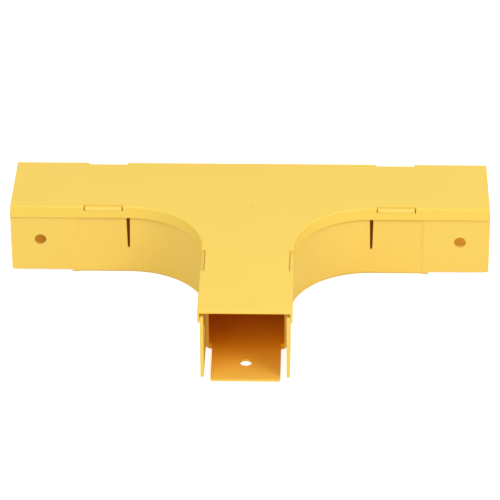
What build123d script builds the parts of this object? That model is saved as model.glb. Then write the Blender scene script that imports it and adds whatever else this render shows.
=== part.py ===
from build123d import *
import os

os.makedirs("parts", exist_ok=True)

# A horizontal tee for fibre raceway: an open-topped body and the clip-on lid that covers it.
# Millimetres, +Z up. The origin is on the underside, where the axis of the two arms
# crosses the axis of the stem. The arms run along X and the stem runs towards -Y.

# The raceway that slides into each end
channel_half = 25.4             # half the clear width of the channel
channel_wall = 2.0              # its wall, which butts on the collar

# The tee as a whole
reach = 166.5                   # from the origin to the end of each arm
height = 54.5                   # from the underside to the top of the lid
corner_centre = 84.0            # from both axes to the centre of each swept corner

# The trough
floor_thickness = 1.9
wall_thickness = 2.0
bottom_radius = 2.5             # outer round between the floor and the walls

# The tongues, which reach over the end of the channel
tongue_length = 40.0            # from the collar's face to the end of the arm
tongue_thickness = 2.3          # of the two on the walls
tongue_bottom = 2.8             # height of their lower edge
tongue_drop = 3.1               # from the top of the walls down to their upper edge
tongue_corner = 1.5             # rounds the free corners of all three
floor_tongue_inset = 2.2        # from each side of the channel's clear width
notch_depth = 2.2               # how far the gaps between tongues cut back past the collar's face
step_depth = 0.8                # how far the ends stand out from the walls
step_setback = 5.3              # from the collar's face back to where the ends stand out
step_length = 2.4               # slope from the walls out to the ends

# The collar that the channel butts on, open where the floor tongue runs in
collar_length = 5.5
collar_radius = 3.3             # round of its outer corners, seen in the notches
collar_inner_radius = 0.7
collar_lead = 1.6               # slope on the side towards the middle

# The fixing holes, one in each tongue
hole_radius = 4.1
hole_setback = 20.5             # from the end of the arm
hole_height = 26.8              # of those in the walls

# The relief slits, which let the walls flex beside the curves
slit_offset = 0.5               # past the line where the curve begins
slit_top_width = 2.8
slit_bottom_width = 1.6
slit_depth = 31.5               # from the top of the walls to the centre of the round at its foot

# The lid
lid_setback = 0.5               # the lid stops this far short of the end of each arm
plate_thickness = 1.9
skirt_thickness = 1.4
skirt_clearance = 0.25          # between the skirt and the walls
skirt_depth = 9.1               # from the top of the lid to the foot of its skirt
lid_edge_radius = 0.9           # round between the plate and the skirt
lid_edge_break = 0.4            # soft edge round its ends and along the foot of the skirt

# The windows in the lid, and the catches on the walls that spring into them
window_offset = 3.85            # past the line where the curve begins
window_length = 27.15
window_depth = 2.9              # cut into the plate from its outer face
window_height = 3.5             # from the top of the lid down to the sill
catch_end_gap = 0.8             # at each end of the window
catch_side_gap = 0.4            # to the plate
catch_sill_gap = 0.1
catch_drop = 0.9                # its top lies this far under the lid's top
catch_inset = 0.1               # its nose stays this far inside the skirt's face
catch_crest = 0.5               # flat top, before the slope that the lid rides down
catch_nose_height = 0.7         # upright part of the nose

# The marks that moulding left on the top of the lid
gate_aside = 1.0                # to the left of the stem's axis
gate_ahead = 30.0               # from the axis of the arms, towards the stem
gate_radius = 2.8               # of the dimple round the gate
gate_depth = 0.3
gate_stub_radius = 0.9
gate_stub_height = 0.2
rib_aside = 5.5                 # to the right of the stem's axis
rib_setback = 11.2              # from the lid's end on the stem to the middle of the rib
rib_length = 8.0
rib_width = 1.0
rib_height = 0.15

# For the tools that cut
overrun = 1.0                   # how far a cut runs past what it cuts
tolerance = 0.001               # for picking out edges by their place

# Worked out from the sizes above
inner_half = channel_half + channel_wall
tongue_half = inner_half + tongue_thickness
wall_half = tongue_half - step_depth
cavity_half = wall_half - wall_thickness
floor_tongue_half = channel_half - floor_tongue_inset
wall_top = height - plate_thickness
tongue_top = wall_top - tongue_drop
slit_bottom = wall_top - slit_depth
lid_reach = reach - lid_setback
skirt_bottom = height - skirt_depth
window_sill = height - window_height
gate_floor = height - gate_depth
lid_inner_half = tongue_half + skirt_clearance
lid_outer_half = lid_inner_half + skirt_thickness
collar_floor = floor_thickness + channel_wall
collar_face = reach - tongue_length
collar_start = collar_face - collar_length
notch_root = collar_face - notch_depth
step_end = collar_face - step_setback
hole_place = reach - hole_setback
slit_place = corner_centre + slit_offset
window_place = corner_centre + window_offset + window_length / 2
window_half = lid_outer_half - window_depth
catch_length = window_length - 2 * catch_end_gap
catch_half = window_half + catch_side_gap
catch_nose = lid_outer_half - catch_inset
catch_foot = window_sill + catch_sill_gap
catch_top = height - catch_drop

up = Vector(0, 0, 1)
right, left, front, back = Vector(1, 0, 0), Vector(-1, 0, 0), Vector(0, -1, 0), Vector(0, 1, 0)
arms = [right, left, front]
# The walls that meet a swept corner, each given by its arm and the way it faces
corner_walls = [(right, front), (left, front), (front, right), (front, left)]
back_walls = [(right, back), (left, back)]


def square_to(arm, distance=0.0):
    """A plane square to an arm that faces out of it: local x runs across, local y up."""
    return Plane(origin=arm * distance, x_dir=up.cross(arm), z_dir=arm)


def facing_out(arm, side, along, out=0.0):
    """A plane that faces out of a side wall: local x runs along the wall, local y up."""
    return Plane(origin=arm * along + side * out, x_dir=up.cross(side), z_dir=side)


def through_wall(arm, side, along):
    """A plane that cuts across a side wall: local x runs out of the wall, local y up."""
    return Plane(origin=arm * along, x_dir=side, z_dir=side.cross(up))


def how_far_out(edge):
    """The distance of an edge's middle from the origin, along its own arm."""
    middle = edge.center()
    return max(abs(middle.X), -middle.Y)


def along_walls(edges, end):
    """The edges that run along the walls, without those that close the three ends."""
    return edges.filter_by(lambda edge: how_far_out(edge) < end - tolerance)


def tee_outline(half, length):
    """A tee in plan, whose inner corners are always swept about the same two centres."""
    with BuildSketch() as outline:
        Rectangle(2 * length, 2 * half)
        Rectangle(2 * half, length, align=(Align.CENTER, Align.MAX))
        corners = outline.vertices().filter_by(lambda v: abs(v.X) < length and -length < v.Y < 0)
        fillet(corners, radius=corner_centre - half)
    return outline.sketch


def section(half, low, high, mode=Mode.ADD):
    """A rectangle centred on an arm's axis, between two heights."""
    with Locations((0, low)):
        Rectangle(2 * half, high - low, align=(Align.CENTER, Align.MIN), mode=mode)


def trough_section(half, low, high, radius):
    """The same rectangle with its two lower corners rounded."""
    with BuildSketch() as shape:
        section(half, low, high)
        fillet(shape.vertices().group_by(Axis.Y)[0], radius=radius)
    return shape.sketch


trough_outline = tee_outline(wall_half, reach)
cavity_outline = tee_outline(cavity_half, reach + overrun)
lid_outline = tee_outline(lid_outer_half, lid_reach)
lid_hollow_outline = tee_outline(lid_inner_half, reach + overrun)
wall_section = trough_section(wall_half, 0, wall_top, bottom_radius)
end_section = trough_section(tongue_half, 0, wall_top, bottom_radius)
collar_section = trough_section(inner_half, 0, wall_top, collar_radius)
mouth_section = trough_section(
    channel_half, collar_floor, wall_top + overrun, collar_inner_radius
)
lead_section = trough_section(
    channel_half + collar_lead,
    collar_floor - collar_lead,
    wall_top + overrun,
    collar_inner_radius + collar_lead,
)

# The body
with BuildPart() as tee_body:
    # The trough: a solid tee with its lower edges rounded and its ends standing out, past a
    # slope, and then hollowed from above
    with BuildSketch():
        add(trough_outline)
    extrude(amount=wall_top)
    fillet(along_walls(tee_body.edges().group_by(Axis.Z)[0], reach), radius=bottom_radius)
    for arm in arms:
        with BuildSketch(square_to(arm, step_end - step_length)):
            add(wall_section)
        with BuildSketch(square_to(arm, step_end)):
            add(end_section)
        loft()
        with BuildSketch(square_to(arm, step_end)):
            add(end_section)
        extrude(amount=reach - step_end)
    with BuildSketch(Plane.XY.offset(floor_thickness)):
        add(cavity_outline)
    extrude(amount=wall_top, mode=Mode.SUBTRACT)
    feet = tee_body.edges().filter_by_position(
        Axis.Z, floor_thickness - tolerance, floor_thickness + tolerance
    )
    fillet(along_walls(feet, reach), radius=bottom_radius - wall_thickness)

    for arm in arms:
        # Gaps at the lower corners part the three tongues, which are flat inside
        with BuildSketch(square_to(arm, notch_root)):
            section(tongue_half + overrun, -overrun, tongue_bottom)
            section(floor_tongue_half, -overrun, tongue_bottom, mode=Mode.SUBTRACT)
            section(inner_half, floor_thickness, wall_top)
        extrude(amount=reach, mode=Mode.SUBTRACT)

        # The tongues on the walls are lower than the walls
        with BuildSketch(square_to(arm, collar_face)):
            section(tongue_half + overrun, tongue_top, wall_top + overrun)
        extrude(amount=reach, mode=Mode.SUBTRACT)

        # The collar narrows the inside to the channel's own width, past a sloped lead
        with BuildSketch(square_to(arm, collar_start)):
            add(collar_section)
        extrude(amount=collar_length)
        with BuildSketch(square_to(arm, collar_start)):
            add(lead_section)
        with BuildSketch(square_to(arm, collar_start + collar_lead)):
            add(mouth_section)
        loft(mode=Mode.SUBTRACT)
        with BuildSketch(square_to(arm, collar_start + collar_lead)):
            add(mouth_section)
        extrude(amount=collar_length, mode=Mode.SUBTRACT)

        # It is open over the floor tongue, where the floor runs out level
        with BuildSketch(square_to(arm, collar_start)):
            section(floor_tongue_half, floor_thickness, collar_floor + overrun)
        extrude(amount=collar_length, mode=Mode.SUBTRACT)

    # The free corners of the tongues are rounded
    free_corners = tee_body.edges().filter_by(
        lambda edge: how_far_out(edge) > reach - tolerance
        and edge.length < max(floor_thickness, tongue_thickness) + tolerance
    )
    fillet(free_corners, radius=tongue_corner)

    # A catch grows from the top of each wall: a flat crest, a slope for the lid to ride down,
    # and a nose
    for arm, side in corner_walls + back_walls:
        with BuildSketch(through_wall(arm, side, window_place)):
            with BuildLine():
                Polyline(
                    (cavity_half, catch_foot),
                    (cavity_half, wall_top),
                    (catch_half, wall_top),
                    (catch_half, catch_top),
                    (catch_half + catch_crest, catch_top),
                    (catch_nose, catch_foot + catch_nose_height),
                    (catch_nose, catch_foot),
                    close=True,
                )
            make_face()
        extrude(amount=catch_length / 2, both=True)

    # A tapered slit, open at the top, parts each straight wall from its swept corner
    for arm, side in corner_walls:
        with BuildSketch(facing_out(arm, side, slit_place, cavity_half - overrun)):
            with BuildLine():
                Polyline(
                    (-slit_bottom_width / 2, slit_bottom),
                    (-slit_top_width / 2, wall_top),
                    (-slit_top_width / 2, wall_top + overrun),
                    (slit_top_width / 2, wall_top + overrun),
                    (slit_top_width / 2, wall_top),
                    (slit_bottom_width / 2, slit_bottom),
                    close=True,
                )
            make_face()
            with Locations((0, slit_bottom)):
                Circle(slit_bottom_width / 2)
        extrude(amount=wall_thickness + 2 * overrun, mode=Mode.SUBTRACT)

    # One hole runs across through both wall tongues, another down through the floor tongue
    for arm in arms:
        across = Plane(origin=arm * hole_place + up * hole_height, z_dir=up.cross(arm))
        down = Plane(origin=arm * hole_place, z_dir=up)
        with Locations(across, down):
            Hole(hole_radius)

# The lid
with BuildPart() as tee_lid:
    with BuildSketch(Plane.XY.offset(skirt_bottom)):
        add(lid_outline)
    extrude(amount=skirt_depth)
    fillet(along_walls(tee_lid.edges().group_by(Axis.Z)[-1], lid_reach), radius=lid_edge_radius)
    sharp_edges = tee_lid.edges().filter_by(
        lambda edge: how_far_out(edge) > lid_reach - tolerance
        or edge.center().Z < skirt_bottom + tolerance
    )
    fillet(sharp_edges, radius=lid_edge_break)
    with BuildSketch(Plane.XY.offset(skirt_bottom - overrun)):
        add(lid_hollow_outline)
    extrude(amount=skirt_depth - plate_thickness + overrun, mode=Mode.SUBTRACT)

    # A window for each catch is cut through the edge, out of the plate and down the skirt
    for arm, side in corner_walls + back_walls:
        with BuildSketch(through_wall(arm, side, window_place)):
            with Locations((window_half, window_sill)):
                Rectangle(window_depth + overrun, window_height + overrun,
                          align=(Align.MIN, Align.MIN))
        extrude(amount=window_length / 2, both=True, mode=Mode.SUBTRACT)

    # The gate left a round dimple with its stub standing in it
    with BuildSketch(Plane.XY.offset(gate_floor)):
        with Locations((-gate_aside, -gate_ahead)):
            Circle(gate_radius)
    extrude(amount=gate_depth, mode=Mode.SUBTRACT)
    with BuildSketch(Plane.XY.offset(gate_floor)):
        with Locations((-gate_aside, -gate_ahead)):
            Circle(gate_stub_radius)
    extrude(amount=gate_stub_height)

    # A faint rib near the end of the stem
    with BuildSketch(Plane.XY.offset(height)):
        with Locations((rib_aside, rib_setback - lid_reach)):
            SlotOverall(rib_length, rib_width, rotation=90)
    extrude(amount=rib_height)

tee_body.part.label = "tee_body"
tee_lid.part.label = "tee_lid"
export_step(tee_body.part, "parts/tee_body.step")
export_step(tee_lid.part, "parts/tee_lid.step")
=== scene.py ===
import math

import bpy
from mathutils import Matrix, Vector

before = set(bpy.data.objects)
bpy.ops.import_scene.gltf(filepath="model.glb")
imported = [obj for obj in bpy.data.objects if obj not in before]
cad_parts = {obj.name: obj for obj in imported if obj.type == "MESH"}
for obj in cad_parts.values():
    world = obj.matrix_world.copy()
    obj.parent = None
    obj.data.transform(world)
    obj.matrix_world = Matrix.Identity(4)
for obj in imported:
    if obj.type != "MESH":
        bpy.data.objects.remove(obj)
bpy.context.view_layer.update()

# A yellow fibre raceway tee, a moulded trough and its clip-on lid, on a flat sheet of white
# paper in soft studio light. Metres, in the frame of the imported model.

MM = 0.001

# The view: a long lens, a little to the right, looking down on the stem
LENS = 227.65
SENSOR = 36.0
LOOK_DOWN = math.radians(31.05)
LOOK_ACROSS = math.radians(1.518)
LEAN = math.radians(-0.3275)
CAMERA_AIM = Vector((-0.42, -11.65, 8.68)) * MM
CAMERA_DISTANCE = 2225.9 * MM
CLIP_START = 0.05
CLIP_END = 50.0

# The light: a soft sky, a key from the right front and a fill from the left front
SKY_COLOUR = (1, 1, 1, 1)
SKY_LEVEL = 0.75
KEY_PLACE = Vector((1.14, -1.09, 1.24))
KEY_SIZE = 0.9
KEY_WATTS = 11.7
FILL_PLACE = Vector((-0.7, -1.35, 1.15))
FILL_SIZE = 1.1
FILL_WATTS = 7.2
FLOOR_SIZE = 12.0
FLOOR_COLOUR = (0.74, 0.74, 0.74, 1)
FLOOR_GLOW = 0.7

# The plastic, satin and hazed by its texture outside, and matt inside, where its colour is painted
# a deeper orange as shade.
# The trough and the lid come from two moulds. The trough's colour is a little paler than the lid's,
# a painted sheen for the white haze on its walls.
BODY_YELLOW_AND_SHEEN = (0.905, 0.612, 0.103, 1)
BODY_PALE_AND_SHEEN = (0.915, 0.632, 0.118, 1)
LID_YELLOW = (0.915, 0.628, 0.086, 1)
LID_PALE = (0.93, 0.653, 0.102, 1)
# Painted shade: the deeper orange that the inside's colour turns to
PAINTED_SHADE_ORANGE = (1.0, 0.41, 0.001, 1)
PLASTIC_ROUGHNESS = 0.42
INNER_ROUGHNESS = 0.92
GRAIN_ROUGHNESS = 0.08
PLASTIC_IOR = 1.45
EDGE_ROUND = 0.3 * MM
EDGE_SAMPLES = 6
GRAIN_SIZE = 0.4 * MM
GRAIN_DETAIL = 3.0
GRAIN_DEPTH = 0.006 * MM
GRAIN_STRENGTH = 1.0
FLOW_SIZE = 45 * MM
FLOW_DETAIL = 2.0

# Where the inside of the tee begins, in the thickness of its walls, floor and lid, and how the
# painted shade of its colour deepens from the ends inwards. The collars' faces and the tongues on
# the walls are outside.
CORNER_CENTRE = 84 * MM
INSIDE_HALF = 28 * MM
INSIDE_FLOOR = 1.2 * MM
INSIDE_TOP = 53.1 * MM
INSIDE_BLUR = 0.8 * MM
COLLAR_PLACE = 41 * MM
COLLAR_DEPTH = 2.4 * MM
REACH = 166.5 * MM
SHADE_DEEPENING = 42 * MM
MOUTH_SHADE_SHARE = 0.36

# Behind the slits in the arms' walls, where light falls in, less of the painted shade is laid on
# the inside
SLIT_PLACE = 84.5 * MM
SLIT_LIGHT_REACH = 16 * MM
SLIT_LIGHT = 0.5

# The middle of a noise and of a soft step, which both run from 0 to 1
MIDDLE = 0.5

# The sockets of a Mix node that hold colours, which share their names with others
FIRST_COLOUR = 6
SECOND_COLOUR = 7
MIXED_COLOUR = 2


class Value:
    """A node's output that takes part in sums, as a number does."""

    def __init__(self, shader, output):
        self.shader = shader
        self.output = output

    def maths(self, operation, first, second):
        return self.shader.node("ShaderNodeMath", {"operation": operation}, {0: first, 1: second})

    def __add__(self, other):
        return self.maths("ADD", self, other)

    def __sub__(self, other):
        return self.maths("SUBTRACT", self, other)

    def __rsub__(self, other):
        return self.maths("SUBTRACT", other, self)

    def __mul__(self, other):
        return self.maths("MULTIPLY", self, other)

    def __truediv__(self, other):
        return self.maths("DIVIDE", self, other)

    def __pow__(self, other):
        return self.maths("POWER", self, other)

    def __abs__(self):
        return self.maths("ABSOLUTE", self, 0)

    def at_least(self, other):
        return self.maths("MAXIMUM", self, other)

    def at_most(self, other):
        return self.maths("MINIMUM", self, other)

    __radd__ = __add__
    __rmul__ = __mul__


class Shader:
    """A material, or the world, whose nodes are added one by one."""

    def __init__(self, owner):
        owner.use_nodes = True
        self.tree = owner.node_tree
        self.tree.nodes.clear()

    def node(self, kind, settings, sockets, output=0):
        """Adds a node, makes its settings, fills its sockets and gives one of its outputs."""
        made = self.tree.nodes.new(kind)
        for name, setting in settings.items():
            setattr(made, name, setting)
        for name, value in sockets.items():
            if isinstance(value, Value):
                self.tree.links.new(value.output, made.inputs[name])
            else:
                made.inputs[name].default_value = value
        return Value(self, made.outputs[output]) if made.outputs else made


def coloured_mix(shader, share, first, second):
    """A colour between two, by a share from 0 to 1."""
    return shader.node(
        "ShaderNodeMix",
        {"data_type": "RGBA"},
        {"Factor": share, FIRST_COLOUR: first, SECOND_COLOUR: second},
        output=MIXED_COLOUR,
    )


def noise(shader, place, size, detail):
    """Soft noise from 0 to 1 whose blotches are about the given size."""
    return shader.node(
        "ShaderNodeTexNoise", {}, {"Vector": place, "Scale": 1 / size, "Detail": detail}
    )


def soft_step(depth):
    """1 where the depth is positive and 0 where it is negative, with a short blur between."""
    return (depth / INSIDE_BLUR + MIDDLE).at_least(0).at_most(1)


def inside_shares(shader, place):
    """1 inside the tee and 0 outside, and the share of painted shade inside, which grows from its
    ends inwards.
    """
    across, along, up = (
        shader.node("ShaderNodeSeparateXYZ", {}, {"Vector": place}, output=axis) for axis in "XYZ"
    )
    beside = (CORNER_CENTRE - abs(across)).at_least(0)
    behind = (along + CORNER_CENTRE).at_least(0)
    from_corner = (beside * beside + behind * behind) ** 0.5
    from_end = REACH - abs(across).at_least(0 - along)
    before_collar = soft_step(COLLAR_PLACE - from_end)
    depth = (from_corner - (CORNER_CENTRE - INSIDE_HALF)).at_most(INSIDE_HALF - along)
    depth = depth - COLLAR_DEPTH * before_collar
    depth = depth.at_most(up - INSIDE_FLOOR).at_most(INSIDE_TOP - up)
    inside = soft_step(depth)
    painted_shade = (from_end / SHADE_DEEPENING).at_least(0).at_most(1)
    by_slit = (1 - abs(abs(across) - SLIT_PLACE) / SLIT_LIGHT_REACH).at_least(0)
    # Painted shade: a little of it at the open ends, and all of it deeper in
    share = MOUTH_SHADE_SHARE + (1 - MOUTH_SHADE_SHARE) * painted_shade
    return inside, inside * share * (1 - SLIT_LIGHT * by_slit)


def moulded_plastic(name, yellow, pale):
    """Yellow plastic with a faint flow of colour, a fine spark-eroded grain, soft edges and a
    painted shade that deepens its colour inside.
    """
    material = bpy.data.materials.new(name)
    shader = Shader(material)
    place = shader.node("ShaderNodeTexCoord", {}, {}, output="Object")
    inside, painted_shade = inside_shares(shader, place)
    outer = coloured_mix(shader, noise(shader, place, FLOW_SIZE, FLOW_DETAIL), yellow, pale)
    grain = noise(shader, place, GRAIN_SIZE, GRAIN_DETAIL)
    edges = shader.node("ShaderNodeBevel", {"samples": EDGE_SAMPLES}, {"Radius": EDGE_ROUND})
    surface = shader.node(
        "ShaderNodeBump",
        {},
        {
            "Strength": GRAIN_STRENGTH,
            "Distance": GRAIN_DEPTH,
            "Height": grain,
            "Normal": edges,
        },
    )
    roughness = PLASTIC_ROUGHNESS + (INNER_ROUGHNESS - PLASTIC_ROUGHNESS) * inside
    roughness = roughness + GRAIN_ROUGHNESS * (grain - MIDDLE)
    plastic = shader.node(
        "ShaderNodeBsdfPrincipled",
        {},
        {
            # Painted shade: the colour turns to a deeper orange inside the tee
            "Base Color": coloured_mix(shader, painted_shade, outer, PAINTED_SHADE_ORANGE),
            "Roughness": roughness,
            "IOR": PLASTIC_IOR,
            "Normal": surface,
        },
    )
    shader.node("ShaderNodeOutputMaterial", {}, {"Surface": plastic})
    return material


def paper_floor():
    """White paper. The camera sees it lifted to white, but for a thin shadow at the part's foot."""
    material = bpy.data.materials.new("white_paper")
    shader = Shader(material)
    paper = shader.node("ShaderNodeBsdfDiffuse", {}, {"Color": FLOOR_COLOUR})
    seen = shader.node("ShaderNodeLightPath", {}, {}, output="Is Camera Ray")
    glow = shader.node("ShaderNodeEmission", {}, {"Strength": FLOOR_GLOW * seen})
    both = shader.node("ShaderNodeAddShader", {}, {0: paper, 1: glow})
    shader.node("ShaderNodeOutputMaterial", {}, {"Surface": both})
    return material


def light_sky():
    """An even white sky, seen as plain white behind the part."""
    world = bpy.data.worlds.new("studio")
    bpy.context.scene.world = world
    shader = Shader(world)
    seen = shader.node("ShaderNodeLightPath", {}, {}, output="Is Camera Ray")
    light = shader.node(
        "ShaderNodeBackground",
        {},
        {"Color": SKY_COLOUR, "Strength": SKY_LEVEL + (1 - SKY_LEVEL) * seen},
    )
    shader.node("ShaderNodeOutputWorld", {}, {"Surface": light})


def soft_lamp(name, place, size, watts):
    """A large round lamp that faces the part."""
    lamp = bpy.data.lights.new(name, "AREA")
    lamp.shape = "DISK"
    lamp.size = size
    lamp.energy = watts
    holder = bpy.data.objects.new(name, lamp)
    holder.location = place
    holder.rotation_euler = (-place).to_track_quat("-Z", "Y").to_euler()
    holder.visible_camera = False
    bpy.context.scene.collection.objects.link(holder)


def lay_floor():
    bpy.ops.object.select_all(action="DESELECT")
    bpy.ops.mesh.primitive_plane_add(size=FLOOR_SIZE)
    floor = bpy.context.object
    floor.name = "paper_floor"
    floor.data.materials.append(paper_floor())


def stand_camera():
    camera = bpy.data.cameras.new("camera")
    camera.lens = LENS
    camera.sensor_width = SENSOR
    camera.clip_start = CLIP_START
    camera.clip_end = CLIP_END
    holder = bpy.data.objects.new("camera", camera)
    turn = (
        Matrix.Rotation(LOOK_ACROSS, 4, "Z")
        @ Matrix.Rotation(math.pi / 2 - LOOK_DOWN, 4, "X")
        @ Matrix.Rotation(LEAN, 4, "Z")
    )
    away = turn @ Vector((0, 0, CAMERA_DISTANCE))
    holder.matrix_world = Matrix.Translation(CAMERA_AIM + away) @ turn
    bpy.context.scene.collection.objects.link(holder)
    bpy.context.scene.camera = holder


def finish_piece(name, plastic):
    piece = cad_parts[name]
    piece.data.materials.clear()
    piece.data.materials.append(plastic)


bpy.context.scene.view_settings.view_transform = "Standard"
stand_camera()
light_sky()
soft_lamp("key_light", KEY_PLACE, KEY_SIZE, KEY_WATTS)
soft_lamp("fill_light", FILL_PLACE, FILL_SIZE, FILL_WATTS)
lay_floor()
# The trough's colours hold a little painted sheen
finish_piece("tee_body", moulded_plastic("body_plastic", BODY_YELLOW_AND_SHEEN, BODY_PALE_AND_SHEEN))
finish_piece("tee_lid", moulded_plastic("lid_plastic", LID_YELLOW, LID_PALE))
